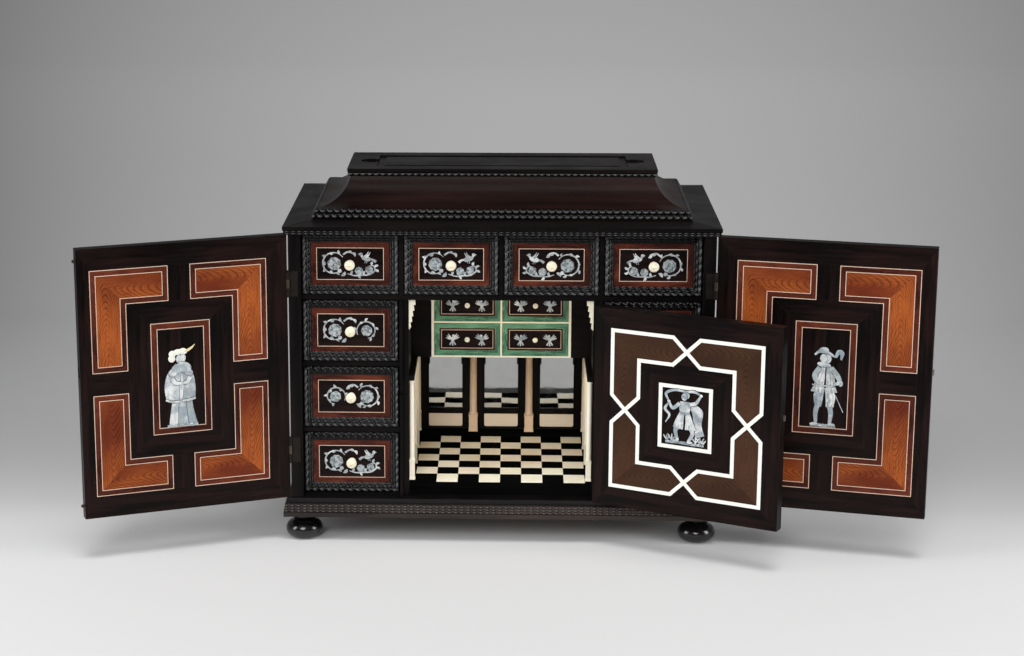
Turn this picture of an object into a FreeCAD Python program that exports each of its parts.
import FreeCAD, Part
import os
import re
import Sketcher

# Table cabinet with a stepped hood, two folding doors, ten drawers and a mirrored niche.
# Millimetres, +Z up, X to the right and Y to the back. The origin is on the table top,
# under the middle of the carcass. The doors stand open, as they are at rest.

doc = FreeCAD.newDocument("TableCabinet")
sheet = doc.addObject("Spreadsheet::Sheet", "Sizes")

# Every length of the cabinet, named once
SIZES = {
    # carcass
    "carcass_wide": 547, "carcass_deep": 306, "carcass_high": 351, "side_thick": 15.5,
    "back_thick": 10, "top_thick": 11, "top_row_high": 81, "shelf_thick": 6.5,
    "shelf_set": 16, "divider_thick": 6, "dust_thick": 6.5, "rail_thick": 3,
    # feet and plinth
    "foot_high": 33.5, "foot_radius": 24.5, "foot_inset": 15, "bun_half_high": 11.5,
    "neck_radius": 12, "neck_ring_radius": 17, "neck_ring_high": 4.5,
    "plinth_ring_wide": 44, "plinth_slab_high": 6, "plinth_slab_out": 10.5,
    "plinth_ripple_high": 11, "plinth_ripple_out": 7, "plinth_ledge_high": 7,
    "plinth_ledge_out": 3.5, "plinth_wall": 23.5, "floor_thick": 10,
    # cornice, hood and cap
    "cornice_rise": 1.5, "cornice_lip_high": 6, "cornice_out": 6.5, "cornice_lip_out": 4,
    "slope_rim": 1.2, "slope_rise": 3.6, "slope_in": 37, "ripple_step_low": 6.5,
    "ripple_step_high": 6, "ripple_step_in": 3.5, "ripple_ring_wide": 26,
    "hood_low_in": 2.5, "cove_rise": 33.2, "cove_radius": 42.6, "cove_out": 3,
    "cove_lift": 42.5, "front_cove_radius": 58.9, "front_cove_lift": 58.8,
    "bead_in": 37.5, "bead_front_in": 52.9, "bead_high": 6, "cap_out": 3, "cap_high": 4.4,
    "cap_end_wide": 37.5, "cap_side_wide": 24.1, "well_board": 4, "finger_radius": 14,
    "finger_out": 9, "lid_gap": 0.6, "lid_thick": 4, "lid_field_in": 9,
    "lid_field_high": 1.8,
    # large drawers
    "drawer_gap": 0.7, "drawer_lift": 0.3, "frame_set": 14, "field_set": 19,
    "front_back": 29, "frame_wide": 9, "frame_lip_wide": 4.5, "frame_lip_set": 16.8,
    "box_side": 6, "box_floor": 4, "box_drop": 5, "box_rear_gap": 11, "box_gap": 1.2,
    "knob_radius": 6.8, "knob_head": 3.2, "knob_stem_radius": 2.6, "knob_stem": 11,
    "knob_base_radius": 5, "knob_base": 1.6, "knob_tip_radius": 1.7, "knob_tip": 2.4,
    "knob_head_reach": 10.4, "core_share": 0.95,
    # niche
    "niche_half": 119.5, "niche_wall_thick": 12, "column_gap": 0.5, "wall_set": 19,
    "lip_thick": 4, "lip_edge": 0.3, "lip_set": 5, "floor_board": 6, "floor_rise": 16.7,
    "floor_set": 20, "floor_side": 7.9, "tile_thick": 2, "tile_gap": 0.1,
    "step_high": 6.8, "step_deep": 14, "niche_rear_room": 65.5, "niche_back": 5,
    "mirror_wide": 48, "mirror_rise": 31, "mirror_high": 75, "mirror_ear": 1.7,
    "mirror_ear_high": 12, "mirror_thick": 2, "mirror_side": 17.5,
    "plaque_wide": 47, "plaque_rise": 4.5, "plaque_high": 18, "plaque_thick": 2.5,
    "plaque_corner": 2.5, "column_in": 7.1, "pedestal_half": 6.4,
    "pedestal_high": 24, "shaft_radius": 5.1, "shaft_ring": 6, "shaft_ring_high": 2.5,
    "column_cap": 4, "side_column_set": 25, "side_column_share": 0.351,
    "side_pedestal_half": 3.6, "side_pedestal_high": 27, "side_shaft_radius": 3.2,
    "architrave_drop": 7, "side_ring_radius": 3.5, "architrave_high": 6.5,
    "architrave_out": 6.9, "spandrel_out": 8.6, "spandrel_high": 40,
    "spandrel_thick": 2.5, "spandrel_set": 20.5, "spandrel_tooth": 2.2,
    # case of four small drawers in the niche
    "case_high": 102, "case_board": 2.6, "case_deep": 122.5, "case_side": 26,
    "case_strip": 3.6, "case_divider": 2.4, "small_high": 44.6, "cheek_thick": 4,
    "small_gap": 0.4, "small_front": 8, "small_border": 6.4, "small_border_high": 1.6,
    "small_side": 3, "small_floor": 2.5, "small_rear_gap": 18.5,
    "small_knob_radius": 3.6, "small_knob_head": 1.7, "small_knob_stem": 4.6,
    "small_knob_stem_radius": 1.5, "small_knob_reach": 4.4,
    # main doors
    "door_thick": 14, "door_gap": 0.5, "door_axis_out": 0.5, "door_meet": 0.4,
    "door_low_gap": 0.5, "door_high_gap": 0.5, "left_rest": 157.9, "right_rest": 166,
    # centre door
    "centre_side_gap": 1.2, "centre_axis_out": 0.6, "centre_axis_set": 2.6,
    "centre_front_set": 2, "centre_thick": 16, "centre_low_gap": 0.5,
    "centre_high_gap": 0.6, "centre_rest": 153.9, "centre_edge_gap": 0.7,
    # butt hinges
    "barrel_radius": 2.5, "pin_radius": 1.2, "pin_bore": 1.25, "hinge_plate": 1.2,
    "hinge_wide": 11, "hinge_long": 33, "hinge_clear": 0.4, "barrel_gap": 0.3,
    "hinge_in": 48, "small_barrel_radius": 2, "small_hinge_wide": 9,
    "small_hinge_long": 24, "small_hinge_in": 22, "pin_head": 1,
    # locks and locating pins
    "bolt_high": 7, "bolt_thick": 3, "bolt_out": 2.2, "bolt_long": 16,
    "bolt_run": 0.2, "bolt_room": 4, "lock_rise": 192, "centre_lock_rise": 146,
    "lock_plate": 1, "lock_plate_wide": 30, "lock_plate_high": 44, "dowel_radius": 2,
    "dowel_out": 4, "dowel_in": 16, "dowel_deep": 8, "socket_radius": 2.8,
    "socket_outer": 4.2, "socket_deep": 5,
}
for row, (word, number) in enumerate(SIZES.items(), start=1):
    sheet.set(f"A{row}", word)
    sheet.set(f"B{row}", str(number))
    sheet.setAlias(f"B{row}", word)
doc.recompute()

nodes = {}
FRONT = "-carcass_deep / 2"


def bound(thing, prop, text):
    """Binds one property to a formula of the named sizes."""
    thing.setExpression(prop, re.sub(r"\b([a-z][a-z_]+)\b(?!\()", r"Sizes.\1", text))


def place(thing, spot):
    for letter, text in zip("xyz", spot):
        bound(thing, f"Placement.Base.{letter}", text)
    return thing


def board(name, x, y, z):
    """A plain board between two corners."""
    box = doc.addObject("Part::Box", name)
    for side, (low, high) in zip(("Length", "Width", "Height"), (x, y, z)):
        bound(box, side, f"({high}) - ({low})")
    return place(box, (x[0], y[0], z[0]))


# the ways that a turned piece can point
WAYS = {
    "up": FreeCAD.Rotation(),
    "front": FreeCAD.Rotation(FreeCAD.Vector(1, 0, 0), 90),
    "right": FreeCAD.Rotation(FreeCAD.Vector(0, 1, 0), 90),
}


def rod(name, spot, radius, long, way="up"):
    round_bar = doc.addObject("Part::Cylinder", name)
    round_bar.Placement = FreeCAD.Placement(FreeCAD.Vector(), WAYS[way])
    bound(round_bar, "Radius", radius)
    bound(round_bar, "Height", long)
    return place(round_bar, spot)


def bun(name, spot, across, half_high, way="up"):
    """A flattened ball about its middle: a rounded ring with its core."""
    ring = doc.addObject("Part::Torus", f"{name}Round")
    ring.Placement = FreeCAD.Placement(FreeCAD.Vector(), WAYS[way])
    bound(ring, "Radius1", f"{across} - {half_high}")
    bound(ring, "Radius2", half_high)
    place(ring, spot)
    low = list(spot)
    if way == "up":
        reach = half_high
        low[2] = f"({spot[2]}) - {reach}"
    else:
        reach = f"{half_high} * core_share"
        low[1] = f"({spot[1]}) + {reach}"
    core = rod(f"{name}Core", low, f"{across} - {half_high}", f"2 * {reach}", way)
    return fused(name, [ring, core])


def fused(name, pieces):
    whole = doc.addObject("Part::MultiFuse", name)
    whole.Shapes = pieces
    return whole


def cut(name, base, tools):
    tool = tools[0]
    if len(tools) > 1:
        tool = fused(name + "Tools", tools)
    left = doc.addObject("Part::Cut", name)
    left.Base = base
    left.Tool = tool
    return left


def node(name, pieces):
    """One kept sub-part: its separate solids side by side."""
    group = doc.addObject("Part::Compound", name)
    group.Links = pieces
    group.Label = name
    nodes[name] = group
    return group


def swung(group, spot, angle, turn):
    """Stands a door's piece, drawn about its hinge line, at its resting angle."""
    group.Placement = FreeCAD.Placement(
        FreeCAD.Vector(), FreeCAD.Rotation(FreeCAD.Vector(0, 0, turn), 1)
    )
    place(group, spot)
    bound(group, "Placement.Rotation.Angle", angle)
    return group


def plane_of(body, role):
    return next(p for p in body.Origin.OriginFeatures if p.Role == role)


def sketch_on(body, name, role, height="0 * door_gap"):
    sketch = body.newObject("Sketcher::SketchObject", name)
    sketch.AttachmentSupport = (plane_of(body, role), [""])
    sketch.MapMode = "FlatFace"
    bound(sketch, "AttachmentOffset.Base.z", height)
    return sketch


def outline(sketch, corners):
    """A closed outline through corners given as (right, up) formulas from the origin."""
    count = len(corners)
    first = sketch.GeometryCount
    turn = [FreeCAD.Vector(i + 1, (i * i) % count + 1, 0) for i in range(count)]
    for i in range(count):
        sketch.addGeometry(Part.LineSegment(turn[i], turn[(i + 1) % count]), False)
    for i in range(count):
        sketch.addConstraint(
            Sketcher.Constraint(
                "Coincident", first + i, 2, first + (i + 1) % count, 1
            )
        )
    for i, (right, up) in enumerate(corners):
        for kind, text in (("DistanceX", right), ("DistanceY", up)):
            if text == "0":
                line = -2 if kind == "DistanceX" else -1
                sketch.addConstraint(
                    Sketcher.Constraint("PointOnObject", first + i, 1, line)
                )
                continue
            spot = sketch.addConstraint(
                Sketcher.Constraint(kind, -1, 1, first + i, 1, i + 1.0)
            )
            bound(sketch, f"Constraints[{spot}]", text)


def centred(sketch, half_wide, half_deep):
    """A rectangle about the origin, from its half widths."""
    first = sketch.GeometryCount
    spots = [(-1, -1), (1, -1), (1, 1), (-1, 1)]
    for i in range(4):
        a, b = spots[i], spots[(i + 1) % 4]
        sketch.addGeometry(
            Part.LineSegment(FreeCAD.Vector(*a, 0), FreeCAD.Vector(*b, 0)), False
        )
    for i in range(4):
        follow = first + (i + 1) % 4
        sketch.addConstraint(Sketcher.Constraint("Coincident", first + i, 2, follow, 1))
        kind = "Horizontal" if i % 2 == 0 else "Vertical"
        sketch.addConstraint(Sketcher.Constraint(kind, first + i))
    sketch.addConstraint(Sketcher.Constraint("Symmetric", first, 1, first + 1, 2, -1, 1))
    for i, (kind, half) in enumerate((("DistanceX", half_wide), ("DistanceY", half_deep))):
        spot = sketch.addConstraint(
            Sketcher.Constraint(kind, first + i, 1, first + i, 2, 2.0)
        )
        bound(sketch, f"Constraints[{spot}]", f"2 * ({half})")


def pad(body, name, sketch, long, back=False):
    feature = body.newObject("PartDesign::Pad", name)
    feature.Profile = sketch
    feature.Reversed = back
    bound(feature, "Length", long)
    return feature


def pocket(body, name, sketch, deep, back=False):
    feature = body.newObject("PartDesign::Pocket", name)
    feature.Profile = sketch
    feature.Reversed = back
    bound(feature, "Length", deep)
    return feature


def layered(name, layers, holes, spot):
    """A body of flat centred layers, each (half wide, half deep, low, high), less holes."""
    body = doc.addObject("PartDesign::Body", name)
    for i, (wide, deep, low, high) in enumerate(layers):
        sketch = sketch_on(body, f"{name}Layer{i}", "XY_Plane", low)
        centred(sketch, wide, deep)
        pad(body, f"{name}Pad{i}", sketch, f"({high}) - ({low})")
    for i, (wide, deep, low, high) in enumerate(holes):
        sketch = sketch_on(body, f"{name}Hole{i}", "XY_Plane", high)
        centred(sketch, wide, deep)
        pocket(body, f"{name}Pocket{i}", sketch, f"({high}) - ({low})")
    return place(body, spot)


HALF_WIDE = "carcass_wide / 2"
HALF_DEEP = "carcass_deep / 2"
ZERO = "0 * door_gap"
MIDDLE = (ZERO, ZERO, ZERO)
PLINTH_TOP = "(foot_high + plinth_slab_high + plinth_ripple_high + plinth_ledge_high)"
CARCASS_TOP = f"{PLINTH_TOP} + carcass_high"
SHELF_LOW = f"({CARCASS_TOP} - top_row_high - shelf_thick)"
SHELF_TOP = f"{SHELF_LOW} + shelf_thick"
CORNICE_LOW = f"({CARCASS_TOP} + cornice_rise)"
INNER = f"{HALF_WIDE} - side_thick"
BACK_FACE = f"{HALF_DEEP} - back_thick"

# the niche and what stands round it
WALL_OUT = "niche_half + niche_wall_thick"
COLUMN_EDGE = f"{WALL_OUT} + column_gap"
LIP_HIGH = f"({WALL_OUT} - lip_edge)"
LIP_LOW = f"({LIP_HIGH} - lip_thick)"
CENTRE_HALF = f"({LIP_LOW} - centre_side_gap)"
CENTRE_X = f"({CENTRE_HALF} + centre_axis_out)"
BACK_SET = "(carcass_deep - niche_rear_room)"
FLOOR_TOP = f"({PLINTH_TOP} + floor_rise)"
STEP_FACE = f"({FLOOR_TOP} + tile_thick + step_high)"
CASE_LOW = f"({SHELF_LOW} - case_high)"
SIDE_COLUMN_TOP = f"({CASE_LOW} - architrave_drop)"
CASE_HALF = "(niche_half - case_side)"
MIRROR_PITCH = "(niche_half - mirror_side - mirror_wide / 2)"
LOCK_Z = f"({PLINTH_TOP} + lock_rise)"
CENTRE_LOCK_Z = f"({PLINTH_TOP} + centre_lock_rise)"

# Bun feet: a flattened ball on a short ringed neck, four alike
feet = []
for i, (sx, sy) in enumerate(((-1, -1), (1, -1), (-1, 1), (1, 1))):
    x = f"{sx} * ({HALF_WIDE} - foot_inset)"
    y = f"{sy} * ({HALF_DEEP} - foot_inset)"
    ball = bun(f"FootBall{i}", (x, y, "bun_half_high"), "foot_radius", "bun_half_high")
    neck = rod(f"FootNeck{i}", (x, y, "bun_half_high"), "neck_radius",
               "foot_high - bun_half_high")
    ring = rod(f"FootRing{i}", (x, y, "foot_high - neck_ring_high"), "neck_ring_radius",
               "neck_ring_high")
    feet.append(fused(f"Foot{i}", [ball, neck, ring]))
node("bun_feet", feet)

# Plinth: a moulded ring with a slab, a rippled band and a ledge
rise = ["foot_high"]
for part in ("plinth_slab_high", "plinth_ripple_high", "plinth_ledge_high"):
    rise.append(f"{rise[-1]} + {part}")
plinth_layers = [
    (f"{HALF_WIDE} + {out}", f"{HALF_DEEP} + {out}", rise[i], rise[i + 1])
    for i, out in enumerate(("plinth_slab_out", "plinth_ripple_out", "plinth_ledge_out"))
]
SEAT = f"{PLINTH_TOP} - floor_thick"
plinth = layered("Plinth", plinth_layers, [
    (f"{HALF_WIDE} - plinth_ring_wide", f"{HALF_DEEP} - plinth_ring_wide",
     "foot_high", PLINTH_TOP),
    (f"{HALF_WIDE} - plinth_wall", f"{HALF_DEEP} - plinth_wall", SEAT, PLINTH_TOP),
], MIDDLE)
node("plinth_moulding", [plinth])
FLOOR_X = f"{HALF_WIDE} - plinth_wall"
FLOOR_Y = f"{HALF_DEEP} - plinth_wall"
node("bottom_board", [board(
    "BottomBoard", (f"-({FLOOR_X})", FLOOR_X), (f"-({FLOOR_Y})", FLOOR_Y),
    (SEAT, PLINTH_TOP))])

# Sides, each with the room for the barrels and plates of the main door's hinges
LEFT_AXIS = (f"-({HALF_WIDE}) - door_axis_out", f"{FRONT} - door_gap / 2", ZERO)
RIGHT_AXIS = (f"{HALF_WIDE} + door_axis_out", f"{FRONT} - door_gap / 2", ZERO)
DOOR_LOW = f"({PLINTH_TOP} + door_low_gap)"
DOOR_HIGH = f"({CORNICE_LOW} - door_high_gap)"
HINGE_Z = [f"{DOOR_LOW} + hinge_in", f"{DOOR_HIGH} - hinge_in - hinge_long"]


def span(sign, low, high):
    """The stretch from low to high, on the right for 1 and mirrored to the left for -1."""
    if sign > 0:
        return (low, high)
    return (f"-({high})", f"-({low})")


sides = []
for sign, side in ((-1, "Left"), (1, "Right")):
    slab = board(f"Side{side}", span(sign, INNER, HALF_WIDE), (FRONT, HALF_DEEP),
                 (PLINTH_TOP, CARCASS_TOP))
    rooms = []
    for i, low in enumerate(HINGE_Z):
        reach = (f"({low}) - pin_head - barrel_gap", f"({low}) + hinge_long + pin_head + barrel_gap")
        rooms.append(board(
            f"Room{side}{i}", span(sign, f"{HALF_WIDE} - barrel_radius", f"{HALF_WIDE} + barrel_radius"),
            (f"{FRONT} - barrel_radius", f"{FRONT} + barrel_radius + hinge_clear"), reach))
        rooms.append(board(
            f"Mortise{side}{i}", span(sign, f"{HALF_WIDE} - barrel_radius - hinge_wide", HALF_WIDE),
            (f"{FRONT} - barrel_radius", f"{FRONT} + hinge_plate"), (low, f"({low}) + hinge_long")))
    sides.append(cut(f"Side{side}Cut", slab, rooms))
node("side_boards", sides)
node("back_board", [board("BackBoard", (f"-({INNER})", INNER), (BACK_FACE, HALF_DEEP),
                          (PLINTH_TOP, CARCASS_TOP))])
TOP_FACE = f"({CARCASS_TOP} + top_thick)"
node("top_board", [board("TopBoard", (f"-{HALF_WIDE}", HALF_WIDE), (FRONT, HALF_DEEP),
                         (CARCASS_TOP, TOP_FACE))])

# Cornice: a ring round the edge of the top board, a rippled lip under a slab
cornice = layered("Cornice", [
    (f"{HALF_WIDE} + cornice_lip_out", f"{HALF_DEEP} + cornice_lip_out", CORNICE_LOW,
     f"{CORNICE_LOW} + cornice_lip_high"),
    (f"{HALF_WIDE} + cornice_out", f"{HALF_DEEP} + cornice_out",
     f"{CORNICE_LOW} + cornice_lip_high", TOP_FACE),
], [(HALF_WIDE, HALF_DEEP, CORNICE_LOW, TOP_FACE)], MIDDLE)
node("cornice_moulding", [cornice])

# Hood: a sloping mitred band, a rippled step, then a deep cove up to the cap
RIM = f"{TOP_FACE} + slope_rim"
SLOPE_TOP = f"{RIM} + slope_rise"
SLOPE_X = f"{HALF_WIDE} + cornice_out - slope_in"
SLOPE_Y = f"{HALF_DEEP} + cornice_out - slope_in"
slope = doc.addObject("PartDesign::Body", "Slope")
rim_sketch = sketch_on(slope, "SlopeRim", "XY_Plane", TOP_FACE)
centred(rim_sketch, f"{HALF_WIDE} + cornice_out", f"{HALF_DEEP} + cornice_out")
pad(slope, "SlopePad", rim_sketch, "slope_rim")
low_sketch = sketch_on(slope, "SlopeLow", "XY_Plane", RIM)
centred(low_sketch, f"{HALF_WIDE} + cornice_out", f"{HALF_DEEP} + cornice_out")
high_sketch = sketch_on(slope, "SlopeHigh", "XY_Plane", SLOPE_TOP)
centred(high_sketch, SLOPE_X, SLOPE_Y)
loft = slope.newObject("PartDesign::AdditiveLoft", "SlopeLoft")
loft.Profile = low_sketch
loft.Sections = [high_sketch]
loft.Ruled = True
hole_sketch = sketch_on(slope, "SlopeHole", "XY_Plane", SLOPE_TOP)
centred(hole_sketch, f"{SLOPE_X} - ripple_ring_wide", f"{SLOPE_Y} - ripple_ring_wide")
pocket(slope, "SlopePocket", hole_sketch, "slope_rim + slope_rise")
node("hood_slope", [place(slope, MIDDLE)])

STEP_MID = f"{SLOPE_TOP} + ripple_step_low"
STEP_TOP = f"{STEP_MID} + ripple_step_high"
ripple = layered("HoodRipple", [
    (SLOPE_X, SLOPE_Y, SLOPE_TOP, STEP_MID),
    (f"{SLOPE_X} - ripple_step_in", f"{SLOPE_Y} - ripple_step_in", STEP_MID, STEP_TOP),
], [(f"{SLOPE_X} - ripple_ring_wide", f"{SLOPE_Y} - ripple_ring_wide",
     SLOPE_TOP, STEP_TOP)], MIDDLE)
node("hood_ripple", [ripple])

HOOD_X = f"({SLOPE_X} - ripple_step_in - hood_low_in)"
HOOD_Y = f"({SLOPE_Y} - ripple_step_in - hood_low_in)"
HOOD_TOP = f"{STEP_TOP} + cove_rise"
block = board("HoodBlock", (f"-({HOOD_X})", HOOD_X), (f"-({HOOD_Y})", HOOD_Y),
              (STEP_TOP, HOOD_TOP))
coves = []
for i, sign in enumerate((-1, 1)):
    coves.append(rod(f"CoveSide{i}", (f"{sign} * ({HOOD_X} + cove_out)", f"{HOOD_Y}",
                                      f"{STEP_TOP} + cove_lift"),
                     "cove_radius", f"2 * ({HOOD_Y})", "front"))
    coves.append(rod(f"CoveFront{i}", (f"-({HOOD_X})", f"{sign} * ({HOOD_Y})",
                                       f"{STEP_TOP} + front_cove_lift"),
                     "front_cove_radius", f"2 * ({HOOD_X})", "right"))
BEAD_X = f"({HOOD_X} - bead_in)"
BEAD_Y = f"({HOOD_Y} - bead_front_in)"
LID_X = f"({BEAD_X} + cap_out - cap_end_wide)"
LID_Y = f"({BEAD_Y} + cap_out - cap_side_wide)"
WELL_X = f"({LID_X} + well_board)"
WELL_Y = f"({LID_Y} + well_board)"
coves.append(board("HoodVoid", (f"-({WELL_X})", WELL_X), (f"-({WELL_Y})", WELL_Y),
                   (STEP_TOP, HOOD_TOP)))
node("hood_cove", [cut("HoodCove", block, coves)])

# Cap: a beaded band and a flat frame with finger holes at the ends of the well
BEAD_TOP = f"{HOOD_TOP} + bead_high"
CAP_TOP = f"{BEAD_TOP} + cap_high"
cap = layered("CapFrame", [
    (BEAD_X, BEAD_Y, HOOD_TOP, BEAD_TOP),
    (f"{BEAD_X} + cap_out", f"{BEAD_Y} + cap_out", BEAD_TOP, CAP_TOP),
], [(WELL_X, WELL_Y, HOOD_TOP, BEAD_TOP), (LID_X, LID_Y, BEAD_TOP, CAP_TOP)], MIDDLE)
fingers = [
    rod(f"Finger{i}", (f"{sign} * ({LID_X} + finger_out)", ZERO, BEAD_TOP),
        "finger_radius", "cap_high")
    for i, sign in enumerate((-1, 1))
]
node("cap_frame", [cut("CapFrameCut", cap, fingers)])

# Well: a shallow lined tray that hangs in the hood and carries the loose lid
LID_SEAT = f"{BEAD_TOP} - lid_thick / 2"
well = [board("WellFloor", (f"-({WELL_X})", WELL_X), (f"-({WELL_Y})", WELL_Y),
              (STEP_TOP, f"{STEP_TOP} + well_board"))]
for i, sign in enumerate((-1, 1)):
    well.append(board(f"WellEnd{i}", span(sign, LID_X, WELL_X),
                      (f"-({WELL_Y})", WELL_Y), (f"{STEP_TOP} + well_board", LID_SEAT)))
    well.append(board(f"WellSide{i}", (f"-{LID_X}", LID_X),
                      span(sign, f"{LID_Y} - well_board", WELL_Y),
                      (f"{STEP_TOP} + well_board", LID_SEAT)))
node("well_tray", well)
lid = layered("WellLid", [
    (f"{LID_X} - lid_gap", f"{LID_Y} - lid_gap", LID_SEAT, f"{LID_SEAT} + lid_thick"),
    (f"{LID_X} - lid_gap - lid_field_in", f"{LID_Y} - lid_gap - lid_field_in",
     f"{LID_SEAT} + lid_thick", f"{LID_SEAT} + lid_thick + lid_field_high"),
], [], MIDDLE)
node("well_lid", [lid])

# Shelf under the top row of drawers, upright dividers, and the dust boards of the columns
SHELF_FRONT = f"{FRONT} + shelf_set"
node("shelf_board", [board("Shelf", (f"-({INNER})", INNER), (SHELF_FRONT, BACK_FACE),
                           (SHELF_LOW, SHELF_TOP))])
COLUMN_HIGH = f"(({SHELF_LOW} - dust_thick * 2 - rail_thick - {PLINTH_TOP}) / 3)"
boards = []
for i, place_x in enumerate((-1, 0, 1)):
    middle = f"{place_x} * ({COLUMN_EDGE} - divider_thick / 2)"
    boards.append(board(f"Divider{i}", (f"{middle} - divider_thick / 2", f"{middle} + divider_thick / 2"),
                        (SHELF_FRONT, BACK_FACE), (SHELF_TOP, CARCASS_TOP)))
for sign in (-1, 1):
    for i in range(3):
        low = PLINTH_TOP
        thick = "rail_thick"
        if i > 0:
            low = f"{PLINTH_TOP} + rail_thick + {i} * {COLUMN_HIGH} + {i - 1} * dust_thick"
            thick = "dust_thick"
        boards.append(board(f"Dust{'L' if sign < 0 else 'R'}{i}", span(sign, WALL_OUT, INNER),
                            (SHELF_FRONT, BACK_FACE), (low, f"{low} + {thick}")))
node("divider_boards", boards)

# Niche walls, with the front lips that the centre door closes between
walls = []
CENTRE_LOW = f"({PLINTH_TOP} + centre_low_gap)"
CENTRE_HIGH = f"({SHELF_LOW} - centre_high_gap)"
SMALL_HINGE_Z = [f"{CENTRE_LOW} + small_hinge_in",
                 f"{CENTRE_HIGH} - small_hinge_in - small_hinge_long"]
for sign, side in ((-1, "Left"), (1, "Right")):
    walls.append(board(f"Wall{side}", span(sign, "niche_half", WALL_OUT),
                       (f"{FRONT} + wall_set", BACK_FACE), (PLINTH_TOP, SHELF_LOW)))
    lip = board(f"Lip{side}", span(sign, LIP_LOW, LIP_HIGH),
                (f"{FRONT} + lip_set", f"{FRONT} + wall_set"), (PLINTH_TOP, SHELF_LOW))
    if sign < 0:
        rooms = [board("KeepRoom", span(sign, LIP_LOW, LIP_HIGH),
                       (f"{FRONT} + lip_set", f"{FRONT} + wall_set - bolt_room"),
                       (f"{CENTRE_LOCK_Z} - bolt_high", f"{CENTRE_LOCK_Z} + bolt_high"))]
    else:
        far = f"{FRONT} + centre_axis_set + small_barrel_radius + hinge_clear + small_hinge_wide"
        rooms = [board(f"LipMortise{i}", span(sign, LIP_LOW, f"{LIP_LOW} + hinge_plate"),
                       (f"{FRONT} + lip_set", far), (low, f"({low}) + small_hinge_long"))
                 for i, low in enumerate(SMALL_HINGE_Z)]
    walls.append(cut(f"Lip{side}Cut", lip, rooms))
    walls.append(board(f"Architrave{side}", span(sign, "niche_half - architrave_out", "niche_half"),
                       (f"{FRONT} + floor_set", f"{FRONT} + {BACK_SET}"),
                       (SIDE_COLUMN_TOP, f"{SIDE_COLUMN_TOP} + architrave_high")))
node("niche_walls", walls)

# Niche floor: a board on two rails, with a low step along the back
FLOOR_UNDER = f"{FLOOR_TOP} - floor_board"
TILE_WIDE = "((niche_half - floor_side) / 4)"
TILE_DEEP = f"(({BACK_SET} - floor_set - step_deep) / 7)"
node("niche_floor", [
    board("NicheFloor", ("-niche_half", "niche_half"), (f"{FRONT} + floor_set", f"{FRONT} + {BACK_SET}"),
          (FLOOR_UNDER, FLOOR_TOP)),
    board("NicheRailFront", ("-niche_half", "niche_half"),
          (f"{FRONT} + floor_set", f"{FRONT} + floor_set + floor_board"), (PLINTH_TOP, FLOOR_UNDER)),
    board("NicheRailBack", ("-niche_half", "niche_half"),
          (f"{FRONT} + {BACK_SET} - floor_board", f"{FRONT} + {BACK_SET}"), (PLINTH_TOP, FLOOR_UNDER)),
    board("NicheStep", ("-niche_half", "niche_half"),
          (f"{FRONT} + {BACK_SET} - step_deep", f"{FRONT} + {BACK_SET}"), (FLOOR_TOP, STEP_FACE)),
])

# Chequered floor, eight squares wide and seven deep
tiles = {0: [], 1: []}
for row in range(7):
    for column in range(8):
        x = f"({column} - 4) * {TILE_WIDE}"
        y = f"{FRONT} + floor_set + {row} * {TILE_DEEP}"
        tiles[(row + column) % 2].append(board(
            f"Tile{row}{column}", (f"{x} + tile_gap / 2", f"{x} + {TILE_WIDE} - tile_gap / 2"),
            (f"{y} + tile_gap / 2", f"{y} + {TILE_DEEP} - tile_gap / 2"),
            (FLOOR_TOP, f"{FLOOR_TOP} + tile_thick")))
node("floor_tiles_dark", tiles[0])
node("floor_tiles_pale", tiles[1])

# Back of the niche with three mirror panes and the plaques under them
BACK_Y = f"{FRONT} + {BACK_SET}"
node("niche_back", [board("NicheBack", ("-niche_half", "niche_half"), (BACK_Y, f"{BACK_Y} + niche_back"),
                          (PLINTH_TOP, SHELF_LOW))])
panes, plaques = [], []
for i in range(3):
    middle = f"{i - 1} * {MIRROR_PITCH}"
    pane = doc.addObject("PartDesign::Body", f"Pane{i}")
    sketch = sketch_on(pane, f"PaneOutline{i}", "XZ_Plane")
    tall = "mirror_high"
    outline(sketch, [
        ("0", "0"), ("mirror_wide", "0"), ("mirror_wide", f"{tall} - mirror_ear_high"),
        ("mirror_wide - mirror_ear", f"{tall} - mirror_ear_high"),
        ("mirror_wide - mirror_ear", tall), ("mirror_ear", tall),
        ("mirror_ear", f"{tall} - mirror_ear_high"), ("0", f"{tall} - mirror_ear_high"),
    ])
    pad(pane, f"PanePad{i}", sketch, "mirror_thick")
    panes.append(place(pane, (f"{middle} - mirror_wide / 2", BACK_Y, f"{STEP_FACE} + mirror_rise")))
    plaque = doc.addObject("PartDesign::Body", f"Plaque{i}")
    sketch = sketch_on(plaque, f"PlaqueOutline{i}", "XZ_Plane")
    tall = "plaque_high"
    outline(sketch, [
        ("plaque_corner", "0"), ("plaque_wide - plaque_corner", "0"),
        ("plaque_wide", "plaque_corner"), ("plaque_wide", tall), ("0", tall),
        ("0", "plaque_corner"),
    ])
    pad(plaque, f"PlaquePad{i}", sketch, "plaque_thick")
    plaques.append(place(plaque, (f"{middle} - plaque_wide / 2", BACK_Y, f"{STEP_FACE} + plaque_rise")))
node("mirror_panes", panes)
node("niche_plaques", plaques)

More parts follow.
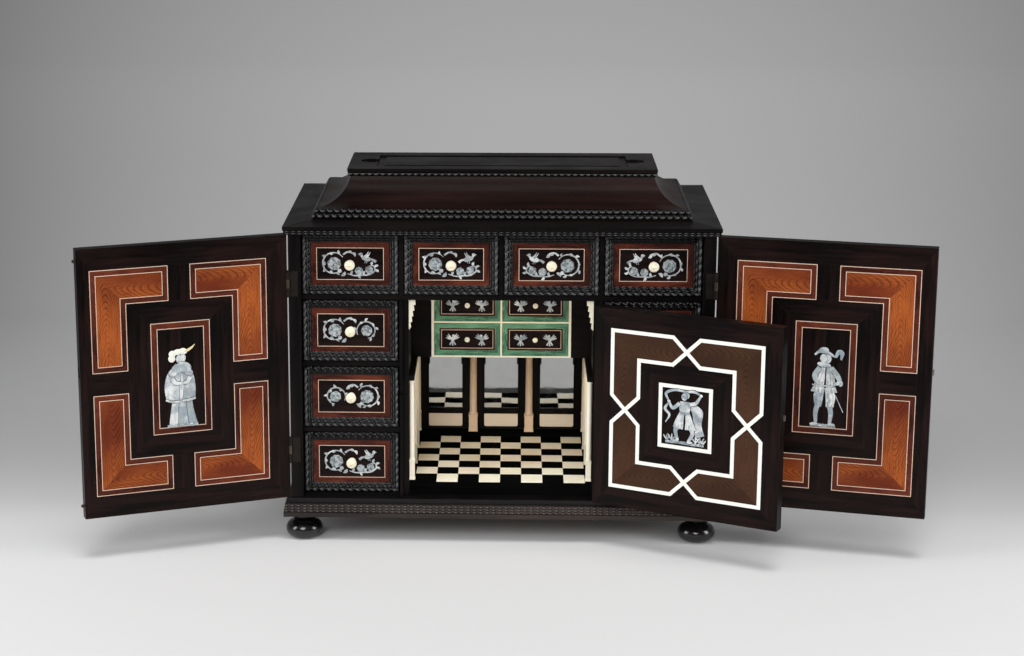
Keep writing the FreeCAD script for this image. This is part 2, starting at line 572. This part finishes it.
# Toothed corner brackets at the top of the opening, flat plates against the walls
brackets = []
for sign, side in ((-1, "Left"), (1, "Right")):
    body = doc.addObject("PartDesign::Body", f"Bracket{side}")
    sketch = sketch_on(body, f"BracketOutline{side}", "XZ_Plane")
    low = "spandrel_high"
    corners = [("spandrel_out / 5", "0"), ("0", "0"), ("0", low), ("spandrel_out", low)]
    for i in range(5):
        step = f"{low} - {i + 1} * spandrel_high * 0.19"
        wide = f"spandrel_out - {i} * spandrel_out / 6"
        corners.append((wide, step))
        corners.append((f"{wide} - spandrel_tooth", step))
    outline(sketch, corners)
    pad(body, f"BracketPad{side}", sketch, "spandrel_thick")
    place(body, ("-niche_half", f"{FRONT} + spandrel_set + spandrel_thick",
                 f"{SHELF_LOW} - spandrel_high"))
    if sign > 0:
        body.Placement = FreeCAD.Placement(
            FreeCAD.Vector(), FreeCAD.Rotation(FreeCAD.Vector(0, 0, 1), 180))
        place(body, ("niche_half", f"{FRONT} + spandrel_set",
                     f"{SHELF_LOW} - spandrel_high"))
    brackets.append(body)
node("corner_brackets", brackets)


def column(name, x, y, low, high, half, tall, shaft, ring, room):
    """A turned column on a square pedestal, with a ring at each end of its shaft."""
    top = f"({low}) + {tall}"
    pieces = [
        board(f"{name}Base", (f"({x}) - {half}", f"({x}) + {half}"),
              (f"({y}) - {half}", f"({y}) + {half}"), (low, top)),
        rod(f"{name}Shaft", (x, y, top), shaft, f"({high}) - ({top})"),
        rod(f"{name}Foot", (x, y, top), ring, "shaft_ring_high"),
        rod(f"{name}Head", (x, y, f"({high}) - {room}"), ring, room),
    ]
    return fused(name, pieces)


COLUMN_SET = f"({BACK_SET} - column_in)"
columns = []
for i, sign in enumerate((-1, 1)):
    columns.append(column(f"BackColumn{i}", f"{sign} * {MIRROR_PITCH} / 2", f"{FRONT} + {COLUMN_SET}",
                          STEP_FACE, CASE_LOW, "pedestal_half", "pedestal_high",
                          "shaft_radius", "shaft_ring", "column_cap"))
    for k in range(4):
        foot = FLOOR_TOP if k < 3 else STEP_FACE
        y = f"{FRONT} + side_column_set + {k} * side_column_share * ({COLUMN_SET} - side_column_set)"
        if k == 3:
            y = f"{FRONT} + {COLUMN_SET}"
        columns.append(column(
            f"SideColumn{i}{k}", f"{sign} * (niche_half - side_pedestal_half)", y, foot,
            SIDE_COLUMN_TOP, "side_pedestal_half", "side_pedestal_high",
            "side_shaft_radius", "side_ring_radius", "shaft_ring_high"))
node("niche_columns", columns)

# Case of four small drawers over the back of the niche
CASE_Y = f"({FRONT} + {BACK_SET} - case_deep)"
CASE_BED = f"({CASE_LOW} + case_board)"
ROW_PITCH = "(small_high + case_divider)"
CASE_TOP = f"{CASE_BED} + 2 * small_high + case_divider"
case = [
    board("CaseFloor", ("-niche_half", "niche_half"), (CASE_Y, BACK_Y), (CASE_LOW, CASE_BED)),
    board("CaseTop", ("-niche_half", "niche_half"), (CASE_Y, BACK_Y), (CASE_TOP, SHELF_LOW)),
]
for sign, side in ((-1, "Left"), (1, "Right")):
    case.append(board(f"CaseStrip{side}", span(sign, f"{CASE_HALF} - case_strip", CASE_HALF),
                      (CASE_Y, BACK_Y), (CASE_BED, CASE_TOP)))
    case.append(board(f"CaseCheek{side}", span(sign, CASE_HALF, "niche_half"),
                      (f"{CASE_Y} + case_divider / 2", f"{CASE_Y} + case_divider / 2 + cheek_thick"),
                      (CASE_BED, CASE_TOP)))
    case.append(board(f"CaseLevel{side}", span(sign, "case_divider / 2", f"{CASE_HALF} - case_strip"),
                      (CASE_Y, BACK_Y),
                      (f"{CASE_BED} + small_high", f"{CASE_BED} + small_high + case_divider")))
case.append(board("CaseUpright", ("-case_divider / 2", "case_divider / 2"), (CASE_Y, BACK_Y),
                  (CASE_BED, CASE_TOP)))
node("small_case", case)


def knob(name, x, y, z, head, half, stem_radius, stem, reach, flange=None):
    """A turned bone knob that points to the front from the field at y."""
    pieces = [rod(f"{name}Stem", (x, y, z), stem_radius, stem, "front"),
              bun(f"{name}Head", (x, f"({y}) - {reach}", z), head, half, "front")]
    if flange:
        pieces.append(rod(f"{name}Flange", (x, y, z), flange[0], flange[1], "front"))
        pieces.append(rod(f"{name}Tip", (x, f"({y}) - {reach}", z), "knob_tip_radius",
                          f"{half} + knob_tip", "front"))
    return fused(name, pieces)


def framed(name, x, z, wide, high, back, border, lip=None):
    """A raised border round a drawer front: its outer bar and its lower inner lip."""
    body = doc.addObject("PartDesign::Body", name)
    steps = [(ZERO, border[0], border[1])]
    if lip:
        steps.append((border[0], f"{border[0]} + {lip[0]}", lip[1]))
    for i, (outer, inner, deep) in enumerate(steps):
        sketch = sketch_on(body, f"{name}Edge{i}", "XZ_Plane")
        for edge in (outer, inner):
            centred(sketch, f"({wide}) / 2 - ({edge})", f"({high}) / 2 - ({edge})")
        pad(body, f"{name}Bar{i}", sketch, deep)
    return place(body, (x, back, z))


def small_drawer(name, sign, row):
    """A small drawer, shut: a box of five boards, a bordered front and a knob."""
    x = span(sign, "case_divider / 2 + small_gap", f"{CASE_HALF} - case_strip - small_gap")
    low = f"{CASE_BED} + {row} * {ROW_PITCH} + drawer_lift"
    high = f"{CASE_BED} + {row} * {ROW_PITCH} + small_high - small_gap"
    front = (CASE_Y, f"{CASE_Y} + small_front")
    back = f"{CASE_Y} + case_deep - small_rear_gap"
    mid_x = f"{sign} * (case_divider / 2 + {CASE_HALF} - case_strip) / 2"
    mid_z = f"(({low}) + ({high})) / 2"
    FIELD = f"{CASE_Y} + small_border_high"
    pieces = [
        board(f"{name}Front", x, (FIELD, front[1]), (low, high)),
        board(f"{name}Floor", (f"({x[0]}) + small_side", f"({x[1]}) - small_side"),
              (front[1], back), (low, f"{low} + small_floor")),
        board(f"{name}Back", (f"({x[0]}) + small_side", f"({x[1]}) - small_side"),
              (f"{back} - small_side", back), (f"{low} + small_floor", f"({high}) - small_side")),
        board(f"{name}SideA", (x[0], f"({x[0]}) + small_side"), (front[1], back),
              (low, f"({high}) - small_side")),
        board(f"{name}SideB", (f"({x[1]}) - small_side", x[1]), (front[1], back),
              (low, f"({high}) - small_side")),
        framed(f"{name}Border", mid_x, mid_z, f"({x[1]}) - ({x[0]})", f"({high}) - ({low})",
               FIELD, ("small_border", "small_border_high")),
        knob(f"{name}Knob", mid_x, FIELD, mid_z, "small_knob_radius", "small_knob_head",
             "small_knob_stem_radius", "small_knob_stem", "small_knob_reach"),
    ]
    node(name, pieces)


small_drawer("small_drawer_lower_left", -1, 0)
small_drawer("small_drawer_lower_right", 1, 0)
small_drawer("small_drawer_upper_left", -1, 1)
small_drawer("small_drawer_upper_right", 1, 1)


def large_drawer(name, x, z):
    """A large drawer, shut: an open box, and a front with a rippled border and a knob."""
    x = (f"({x[0]}) + drawer_gap", f"({x[1]}) - drawer_gap")
    z = (f"({z[0]}) + drawer_lift", f"({z[1]}) - drawer_gap")
    field = f"{FRONT} + field_set"
    rear = f"{FRONT} + front_back"
    mid_x = f"(({x[0]}) + ({x[1]})) / 2"
    mid_z = f"(({z[0]}) + ({z[1]})) / 2"
    inner = (f"({x[0]}) + box_side + box_gap / 2", f"({x[1]}) - box_side - box_gap / 2")
    outer = (f"({x[0]}) + box_gap / 2", f"({x[1]}) - box_gap / 2")
    back = f"{BACK_FACE} - box_rear_gap"
    rim = f"({z[1]}) - box_drop"
    node(f"{name}_box", [
        board(f"{name}_Floor", inner, (rear, back), (z[0], f"({z[0]}) + box_floor")),
        board(f"{name}_Back", inner, (f"{back} - box_side", back), (f"({z[0]}) + box_floor", rim)),
        board(f"{name}_SideA", (outer[0], inner[0]), (rear, back), (z[0], rim)),
        board(f"{name}_SideB", (inner[1], outer[1]), (rear, back), (z[0], rim)),
    ])
    node(f"{name}_front", [
        board(f"{name}_Board", x, (field, rear), z),
        framed(f"{name}_Ripple", mid_x, mid_z, f"({x[1]}) - ({x[0]})", f"({z[1]}) - ({z[0]})",
               field, ("frame_wide", "field_set - frame_set"),
               ("frame_lip_wide", "field_set - frame_lip_set")),
        knob(f"{name}_Knob", mid_x, field, mid_z, "knob_radius", "knob_head",
             "knob_stem_radius", "knob_stem", "knob_head_reach",
             ("knob_base_radius", "knob_base")),
    ])


TOP_ROW = (SHELF_TOP, CARCASS_TOP)
large_drawer("top_drawer_a", span(-1, COLUMN_EDGE, INNER), TOP_ROW)
large_drawer("top_drawer_b", span(-1, "divider_thick / 2", f"{COLUMN_EDGE} - divider_thick"), TOP_ROW)
large_drawer("top_drawer_c", span(1, "divider_thick / 2", f"{COLUMN_EDGE} - divider_thick"), TOP_ROW)
large_drawer("top_drawer_d", span(1, COLUMN_EDGE, INNER), TOP_ROW)
for sign, side in ((-1, "left"), (1, "right")):
    for i, level in enumerate(("low", "mid", "high")):
        low = f"{PLINTH_TOP} + rail_thick + {i} * ({COLUMN_HIGH} + dust_thick)"
        large_drawer(f"{side}_drawer_{level}", span(sign, COLUMN_EDGE, INNER),
                     (low, f"{low} + {COLUMN_HIGH}"))


def butt_hinge(name, sign, low, long, wide, barrel, fixed_way, moving_way):
    """A butt hinge about its own line: two fixed barrels and a plate with the pin, and
    between them the moving barrel with its plate. A way is a function that turns a reach
    away from the line and a depth into a board's x and y."""
    parts = {"fixed": [], "moving": []}
    third = f"{long} / 3"
    zones = {
        "fixed": [("0 * barrel_gap", f"{third} - barrel_gap / 2"),
                  (f"2 * {third} + barrel_gap / 2", long)],
        "moving": [(f"{third} + barrel_gap / 2", f"2 * {third} - barrel_gap / 2")],
    }
    for kind, way in (("fixed", fixed_way), ("moving", moving_way)):
        x, y = way(f"{barrel} + hinge_clear", wide)
        pieces = [board(f"{name}{kind}Plate", x, y, (low, f"({low}) + {long}"))]
        for i, (a, b) in enumerate(zones[kind]):
            z = (f"({low}) + {a}", f"({low}) + {b}")
            pieces.append(rod(f"{name}{kind}Barrel{i}", (ZERO, ZERO, z[0]), barrel,
                              f"({z[1]}) - ({z[0]})"))
            x, y = way(ZERO, f"{barrel} + 2 * hinge_clear")
            pieces.append(board(f"{name}{kind}Web{i}", x, y, z))
        leaf = fused(f"{name}{kind}Leaf", pieces)
        bore = rod(f"{name}{kind}Bore", (ZERO, ZERO, f"({low}) - pin_head"), "pin_bore",
                   f"{long} + 2 * pin_head")
        parts[kind].append(cut(f"{name}{kind}Bored", leaf, [bore]))
    pin = rod(f"{name}Pin", (ZERO, ZERO, f"({low}) - pin_head"), "pin_radius", f"{long} + 2 * pin_head")
    heads = [rod(f"{name}PinHead{i}", (ZERO, ZERO, z), barrel, "pin_head")
             for i, z in enumerate((f"({low}) - pin_head", f"({low}) + {long}"))]
    parts["pin"] = [fused(f"{name}PinWhole", [pin] + heads)]
    return parts


def door_board(name, sign, near, far, y, z):
    """A leaf drawn as it stands when shut, about its hinge line."""
    body = doc.addObject("PartDesign::Body", name)
    sketch = sketch_on(body, f"{name}Outline", "XZ_Plane")
    centred(sketch, f"(({far}) - ({near})) / 2", f"(({z[1]}) - ({z[0]})) / 2")
    pad(body, f"{name}Pad", sketch, f"({y[1]}) - ({y[0]})")
    return place(body, (f"{sign} * (({near}) + ({far})) / 2", y[1], f"(({z[0]}) + ({z[1]})) / 2"))


# Main doors: each leaf lies over the front of the carcass when shut
fixed_main = []
INFACE = "-door_gap / 2"
OUTFACE = "-door_gap / 2 - door_thick"
NEAR = "door_axis_out + door_gap"
FAR = f"{HALF_WIDE} + door_axis_out - door_meet / 2"
BOLT_Y = f"{INFACE} - door_thick / 2"
for sign, side, axis, rest, turn in (
    (1, "left", LEFT_AXIS, "left_rest", -1),
    (-1, "right", RIGHT_AXIS, "right_rest", 1),
):
    leaf = door_board(f"{side}Leaf", sign, NEAR, FAR, (OUTFACE, INFACE), (DOOR_LOW, DOOR_HIGH))
    rooms, metal = [], []
    for i, low in enumerate(HINGE_Z):
        reach = (f"({low}) - pin_head - barrel_gap", f"({low}) + hinge_long + pin_head + barrel_gap")
        rooms.append(board(f"{side}LeafRoom{i}", span(sign, ZERO, "barrel_radius + hinge_clear"),
                           ("-barrel_radius - hinge_clear", ZERO), reach))
        rooms.append(board(f"{side}LeafMortise{i}",
                           span(sign, ZERO, "barrel_radius + hinge_clear + hinge_wide"),
                           (f"{INFACE} - hinge_plate", ZERO), (low, f"({low}) + hinge_long")))

        def fixed_way(near, far, sign=sign):
            return (span(sign, f"door_axis_out + {near}", f"door_axis_out + barrel_radius + {far}")
                    if near != ZERO else span(sign, ZERO, f"door_axis_out + {far}"),
                    ("door_gap / 2", "door_gap / 2 + hinge_plate"))

        def moving_way(near, far, sign=sign):
            return (span(sign, near, f"barrel_radius + hinge_clear + {far}")
                    if near != ZERO else span(sign, ZERO, far),
                    (f"{INFACE} - hinge_plate", INFACE))

        hinge = butt_hinge(f"{side}Hinge{i}", sign, low, "hinge_long",
                           "hinge_wide - door_axis_out - hinge_clear", "barrel_radius", fixed_way, moving_way)
        metal += hinge["moving"]
        group = doc.addObject("Part::Compound", f"{side}Fixed{i}")
        group.Links = hinge["fixed"] + hinge["pin"]
        fixed_main.append(place(group, axis))
    DOWEL_Z = [f"{DOOR_LOW} + dowel_in", f"{DOOR_HIGH} - dowel_in"]
    for i, z in enumerate(DOWEL_Z):
        if side == "left":
            rooms.append(rod(f"DowelHole{i}", (f"{FAR} - dowel_deep", BOLT_Y, z), "dowel_radius",
                             "dowel_deep", "right"))
            metal.append(rod(f"Dowel{i}", (f"{FAR} - dowel_deep", BOLT_Y, z), "dowel_radius",
                             "dowel_deep + dowel_out - door_meet", "right"))
        else:
            rooms.append(rod(f"SocketHole{i}", (f"-({FAR})", BOLT_Y, z), "socket_outer",
                             "socket_deep", "right"))
            cup = rod(f"Socket{i}", (f"-({FAR})", BOLT_Y, z), "socket_outer", "socket_deep", "right")
            bore = rod(f"SocketBore{i}", (f"-({FAR})", BOLT_Y, z), "socket_radius",
                       "socket_deep", "right")
            metal.append(cut(f"SocketCup{i}", cup, [bore]))
    bolt_z = (f"{LOCK_Z} - bolt_high / 2", f"{LOCK_Z} + bolt_high / 2")
    if side == "right":
        tip = f"-({FAR}) - bolt_out"
        rooms.append(board("LockRoom", (f"-({FAR})", f"{tip} + bolt_long + bolt_room"),
                           (f"{BOLT_Y} - bolt_thick / 2 - bolt_run",
                            f"{BOLT_Y} + bolt_thick / 2 + bolt_run"),
                           (f"{bolt_z[0]} - bolt_run", f"{bolt_z[1]} + bolt_run")))
        bolt = board("LockBolt", (tip, f"{tip} + bolt_long"),
                     (f"{BOLT_Y} - bolt_thick / 2", f"{BOLT_Y} + bolt_thick / 2"), bolt_z)
        swung(node("right_lock_bolt", [bolt]), axis, rest, turn)
        plate = (f"-({FAR}) + socket_outer / 2", f"-({FAR}) + socket_outer / 2 + lock_plate_wide")
        z = (f"{LOCK_Z} - lock_plate_high / 2", f"{LOCK_Z} + lock_plate_high / 2")
        rooms.append(board("PlateRoom", plate, (f"{INFACE} - lock_plate", INFACE), z))
        metal.append(board("LockPlate", plate, (f"{INFACE} - lock_plate", INFACE), z))
    else:
        rooms.append(board("StrikeRoom", (f"{FAR} - bolt_room", FAR),
                           (f"{BOLT_Y} - bolt_thick", f"{BOLT_Y} + bolt_thick"),
                           (f"{LOCK_Z} - bolt_high", f"{LOCK_Z} + bolt_high")))
    swung(node(f"{side}_door_leaf", [cut(f"{side}LeafCut", leaf, rooms)]), axis, rest, turn)
    swung(node(f"{side}_door_metalwork", metal), axis, rest, turn)

# Centre door: it closes flush between the drawer columns and hangs on their right
CENTRE_AXIS = (CENTRE_X, f"{FRONT} + centre_axis_set", ZERO)
C_OUT = "centre_front_set - centre_axis_set"
C_IN = f"{C_OUT} + centre_thick"
C_NEAR = "centre_edge_gap"
C_FAR = f"({CENTRE_HALF} + {CENTRE_X})"
leaf = door_board("CentreLeaf", -1, C_NEAR, C_FAR, (C_OUT, C_IN), (CENTRE_LOW, CENTRE_HIGH))
rooms, metal, pins = [], [], []
for i, low in enumerate(SMALL_HINGE_Z):
    reach = (f"({low}) - pin_head - barrel_gap", f"({low}) + small_hinge_long + pin_head + barrel_gap")
    rooms.append(board(f"CentreRoom{i}", span(-1, ZERO, "small_barrel_radius + hinge_clear"),
                       (C_OUT, "small_barrel_radius + hinge_clear"), reach))
    rooms.append(board(f"CentreMortise{i}", span(-1, C_NEAR, f"{C_NEAR} + hinge_plate"),
                       (ZERO, "small_barrel_radius + hinge_clear + small_hinge_wide"),
                       (low, f"({low}) + small_hinge_long")))

    def lip_way(near, far):
        x = (f"{LIP_LOW} - {CENTRE_X}", f"{LIP_LOW} - {CENTRE_X} + hinge_plate")
        if near == ZERO:
            return ((ZERO, x[1]), (ZERO, far))
        return (x, (near, f"small_barrel_radius + hinge_clear + {far}"))

    def leaf_way(near, far):
        x = (f"-({C_NEAR} + hinge_plate)", f"-({C_NEAR})")
        if near == ZERO:
            return ((x[0], ZERO), (ZERO, far))
        return (x, (near, f"small_barrel_radius + hinge_clear + {far}"))

    hinge = butt_hinge(f"CentreHinge{i}", -1, low, "small_hinge_long", "small_hinge_wide - hinge_clear",
                       "small_barrel_radius", lip_way, leaf_way)
    metal += hinge["moving"]
    pins += hinge["pin"]
    group = doc.addObject("Part::Compound", f"CentreFixed{i}")
    group.Links = hinge["fixed"]
    fixed_main.append(place(group, CENTRE_AXIS))
C_BOLT_Y = f"({C_OUT} + {C_IN}) / 2 - bolt_thick"
bolt_z = (f"{CENTRE_LOCK_Z} - bolt_high / 2", f"{CENTRE_LOCK_Z} + bolt_high / 2")
tip = f"-({C_FAR}) - bolt_out"
rooms.append(board("CentreLockRoom", (f"-({C_FAR})", f"{tip} + bolt_long + bolt_room"),
                   (f"{C_BOLT_Y} - bolt_thick / 2 - bolt_run", f"{C_BOLT_Y} + bolt_thick / 2 + bolt_run"),
                   (f"{bolt_z[0]} - bolt_run", f"{bolt_z[1]} + bolt_run")))
bolt = board("CentreLockBolt", (tip, f"{tip} + bolt_long"),
             (f"{C_BOLT_Y} - bolt_thick / 2", f"{C_BOLT_Y} + bolt_thick / 2"), bolt_z)
swung(node("centre_lock_bolt", [bolt]), CENTRE_AXIS, "centre_rest", 1)
swung(node("centre_door_leaf", [cut("CentreLeafCut", leaf, rooms)]), CENTRE_AXIS, "centre_rest", 1)
swung(node("centre_hinge_plates", metal), CENTRE_AXIS, "centre_rest", 1)
swung(node("centre_hinge_pins", pins), CENTRE_AXIS, "centre_rest", 1)
node("fixed_hinge_plates", fixed_main)

# Everything is worked out, looked over and written
doc.recompute()
for thing in doc.Objects:
    if "Invalid" in thing.State or "Error" in thing.State:
        raise RuntimeError(f"{thing.Name} is not sound: {thing.State}")
os.makedirs("parts", exist_ok=True)
for name, group in nodes.items():
    shape = group.Shape
    if shape.isNull() or not shape.isValid():
        raise RuntimeError(f"{name} has no valid shape")
    for solid in shape.Solids:
        if solid.Volume <= 0:
            raise RuntimeError(f"{name} has a solid without volume")
    shape.exportStep(f"parts/{name}.step")
    room = shape.BoundBox
    print(f"{name}: {len(shape.Solids)} solids, {shape.Volume / 1000:.1f} cm3, "
          f"x {room.XMin:.1f}..{room.XMax:.1f} y {room.YMin:.1f}..{room.YMax:.1f} "
          f"z {room.ZMin:.1f}..{room.ZMax:.1f}")
print(len(nodes), "nodes")
